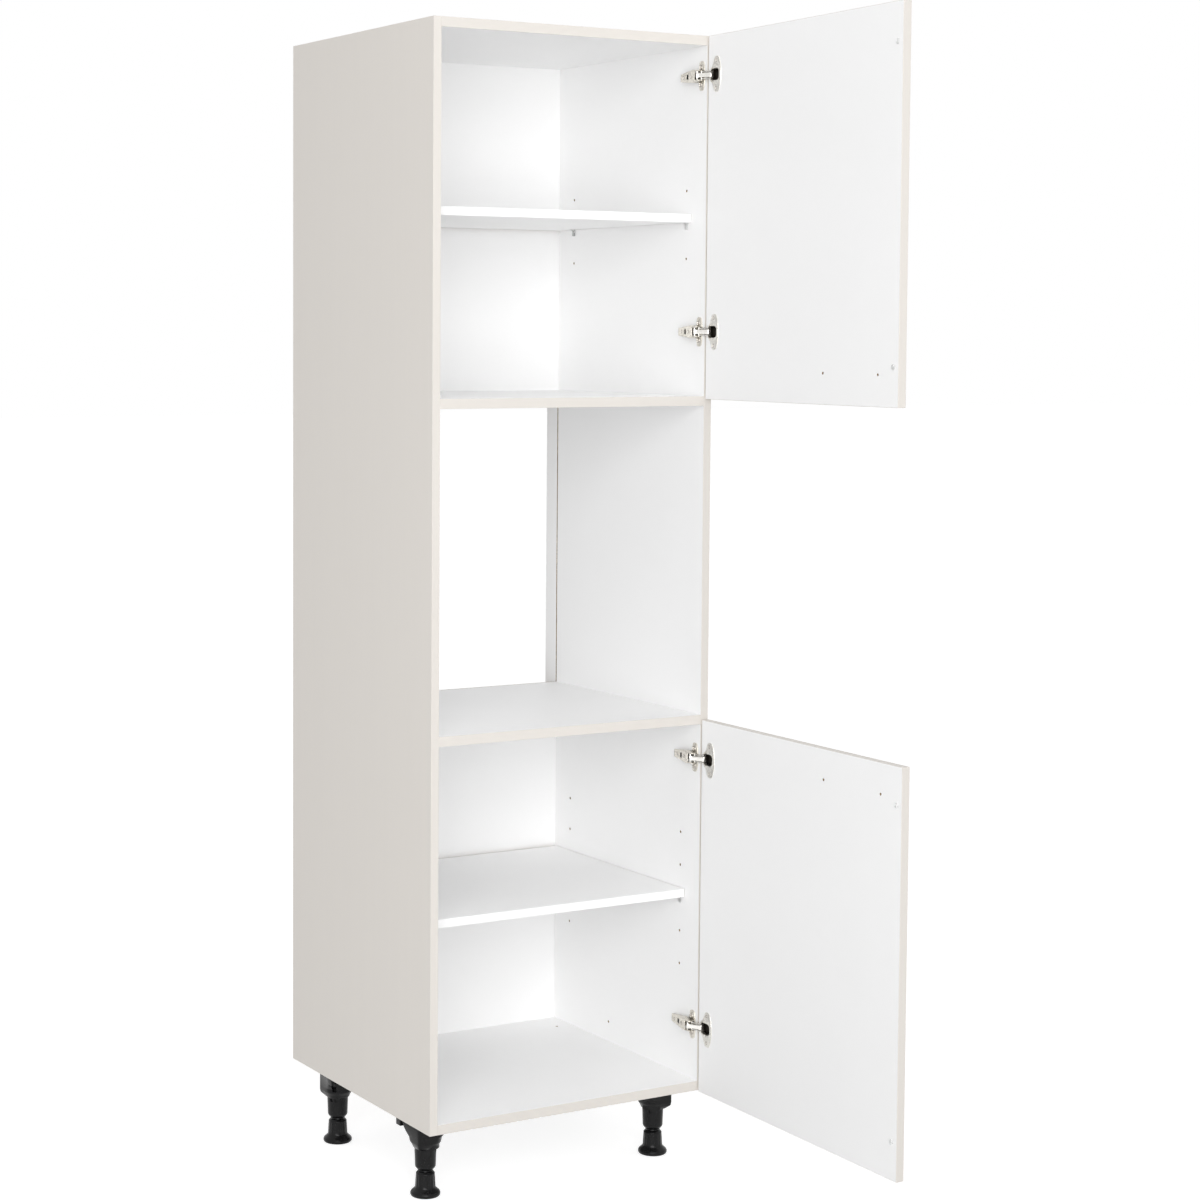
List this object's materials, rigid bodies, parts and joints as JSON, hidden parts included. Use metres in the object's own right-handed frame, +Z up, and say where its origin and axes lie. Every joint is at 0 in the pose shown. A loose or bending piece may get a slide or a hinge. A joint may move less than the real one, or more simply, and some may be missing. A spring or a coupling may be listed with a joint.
{
  "type": "tall oven housing unit",
  "caption": "Tall floor-standing kitchen cabinet with an open bay for a built-in oven between two single-door cupboards, on adjustable feet",
  "frame": {"origin": "on the floor, within 1 mm of the middle of the box that the unit fills with its doors open, which is also the middle of the carcass's width", "axes": "+X to the right of someone facing the unit, +Y from its front to the wall behind it, +Z up"},
  "size_m": [0.6006, 1.1647, 2.145],
  "materials": {
    "beige_board": "warm beige laminate on chipboard outside and on the front edges, white inside",
    "white_board": "white laminate on chipboard, beige front edge",
    "nickel": "pressed steel, nickel plated",
    "clear_plastic": "translucent, slightly milky",
    "black_plastic": "moulded, fine texture"
  },
  "bodies": {
    "cabinet": {"left_side_panel": "beige_board", "right_side_panel": "beige_board", "top_panel": "white_board", "oven_bay_ceiling_panel": "white_board", "oven_bay_floor_panel": "white_board", "bottom_panel": "white_board", "upper_back_panel": "white_board", "lower_back_panel": "white_board", "upper_shelf": "white_board", "lower_shelf": "white_board", "upper_shelf_pin_left_front": "clear_plastic", "upper_shelf_pin_left_rear": "clear_plastic", "upper_shelf_pin_right_front": "clear_plastic", "upper_shelf_pin_right_rear": "clear_plastic", "lower_shelf_pin_left_front": "clear_plastic", "lower_shelf_pin_left_rear": "clear_plastic", "lower_shelf_pin_right_front": "clear_plastic", "lower_shelf_pin_right_rear": "clear_plastic", "upper_hinge_bottom_plate": "nickel", "upper_hinge_bottom_arm": "nickel", "upper_hinge_top_plate": "nickel", "upper_hinge_top_arm": "nickel", "lower_hinge_bottom_plate": "nickel", "lower_hinge_bottom_arm": "nickel", "lower_hinge_top_plate": "nickel", "lower_hinge_top_arm": "nickel", "foot_front_left_socket": "black_plastic", "foot_front_left_sleeve": "black_plastic", "foot_rear_left_socket": "black_plastic", "foot_rear_left_sleeve": "black_plastic", "foot_front_right_socket": "black_plastic", "foot_front_right_sleeve": "black_plastic", "foot_rear_right_socket": "black_plastic", "foot_rear_right_sleeve": "black_plastic"},
    "upper_door": {"upper_door": "beige_board", "upper_door_buffer_top": "clear_plastic", "upper_door_buffer_bottom": "clear_plastic", "upper_hinge_bottom_cup": "nickel", "upper_hinge_top_cup": "nickel"},
    "lower_door": {"lower_door": "beige_board", "lower_door_buffer_top": "clear_plastic", "lower_door_buffer_bottom": "clear_plastic", "lower_hinge_bottom_cup": "nickel", "lower_hinge_top_cup": "nickel"},
    "upper_outer_links": {"upper_hinge_bottom_outer_link": "nickel", "upper_hinge_top_outer_link": "nickel"},
    "upper_inner_links": {"upper_hinge_bottom_inner_link": "nickel", "upper_hinge_top_inner_link": "nickel"},
    "lower_outer_links": {"lower_hinge_bottom_outer_link": "nickel", "lower_hinge_top_outer_link": "nickel"},
    "lower_inner_links": {"lower_hinge_bottom_inner_link": "nickel", "lower_hinge_top_inner_link": "nickel"},
    "foot_front_left": {"foot_front_left_screw": "black_plastic"},
    "foot_front_right": {"foot_front_right_screw": "black_plastic"},
    "foot_rear_left": {"foot_rear_left_screw": "black_plastic"},
    "foot_rear_right": {"foot_rear_right_screw": "black_plastic"}
  },
  "joints": [
    {"name": "upper_door_hinge", "type": "hinge", "parent": "cabinet", "child": "upper_door", "pos_m": [0.2917, 0.0081, 1.806], "axis": [0, 0, 1], "range_deg": [-87.5, 17.5]},
    {"name": "lower_door_hinge", "type": "hinge", "parent": "cabinet", "child": "lower_door", "pos_m": [0.2917, 0.0081, 0.502], "axis": [0, 0, 1], "range_deg": [-89.5, 15.5]},
    {"name": "upper_outer_link_pivot", "type": "hinge", "parent": "cabinet", "child": "upper_outer_links", "pos_m": [0.276, 0.026, 1.833], "axis": [0, 0, 1], "range_deg": [-3.6, 16.4]},
    {"name": "upper_inner_link_pivot", "type": "hinge", "parent": "cabinet", "child": "upper_inner_links", "pos_m": [0.2685, 0.0295, 1.833], "axis": [0, 0, 1], "range_deg": [-2.2, 9.2]},
    {"name": "lower_outer_link_pivot", "type": "hinge", "parent": "cabinet", "child": "lower_outer_links", "pos_m": [0.276, 0.026, 0.528], "axis": [0, 0, 1], "range_deg": [-3.6, 16.4]},
    {"name": "lower_inner_link_pivot", "type": "hinge", "parent": "cabinet", "child": "lower_inner_links", "pos_m": [0.2685, 0.0295, 0.528], "axis": [0, 0, 1], "range_deg": [-2.2, 9.2]},
    {"name": "foot_front_left_screw_slide", "type": "slide", "parent": "cabinet", "child": "foot_front_left", "axis": [0, 0, 1], "range_m": [-0.02, 0.003]},
    {"name": "foot_front_right_screw_slide", "type": "slide", "parent": "cabinet", "child": "foot_front_right", "axis": [0, 0, 1], "range_m": [-0.02, 0.003]},
    {"name": "foot_rear_left_screw_slide", "type": "slide", "parent": "cabinet", "child": "foot_rear_left", "axis": [0, 0, 1], "range_m": [-0.02, 0.003]},
    {"name": "foot_rear_right_screw_slide", "type": "slide", "parent": "cabinet", "child": "foot_rear_right", "axis": [0, 0, 1], "range_m": [-0.02, 0.003]}
  ],
  "couplings": [
    {"joint": "upper_outer_link_pivot", "follows": "upper_door_hinge", "ratio": -0.18},
    {"joint": "upper_inner_link_pivot", "follows": "upper_door_hinge", "ratio": -0.1},
    {"joint": "lower_outer_link_pivot", "follows": "lower_door_hinge", "ratio": -0.18},
    {"joint": "lower_inner_link_pivot", "follows": "lower_door_hinge", "ratio": -0.1}
  ]
}
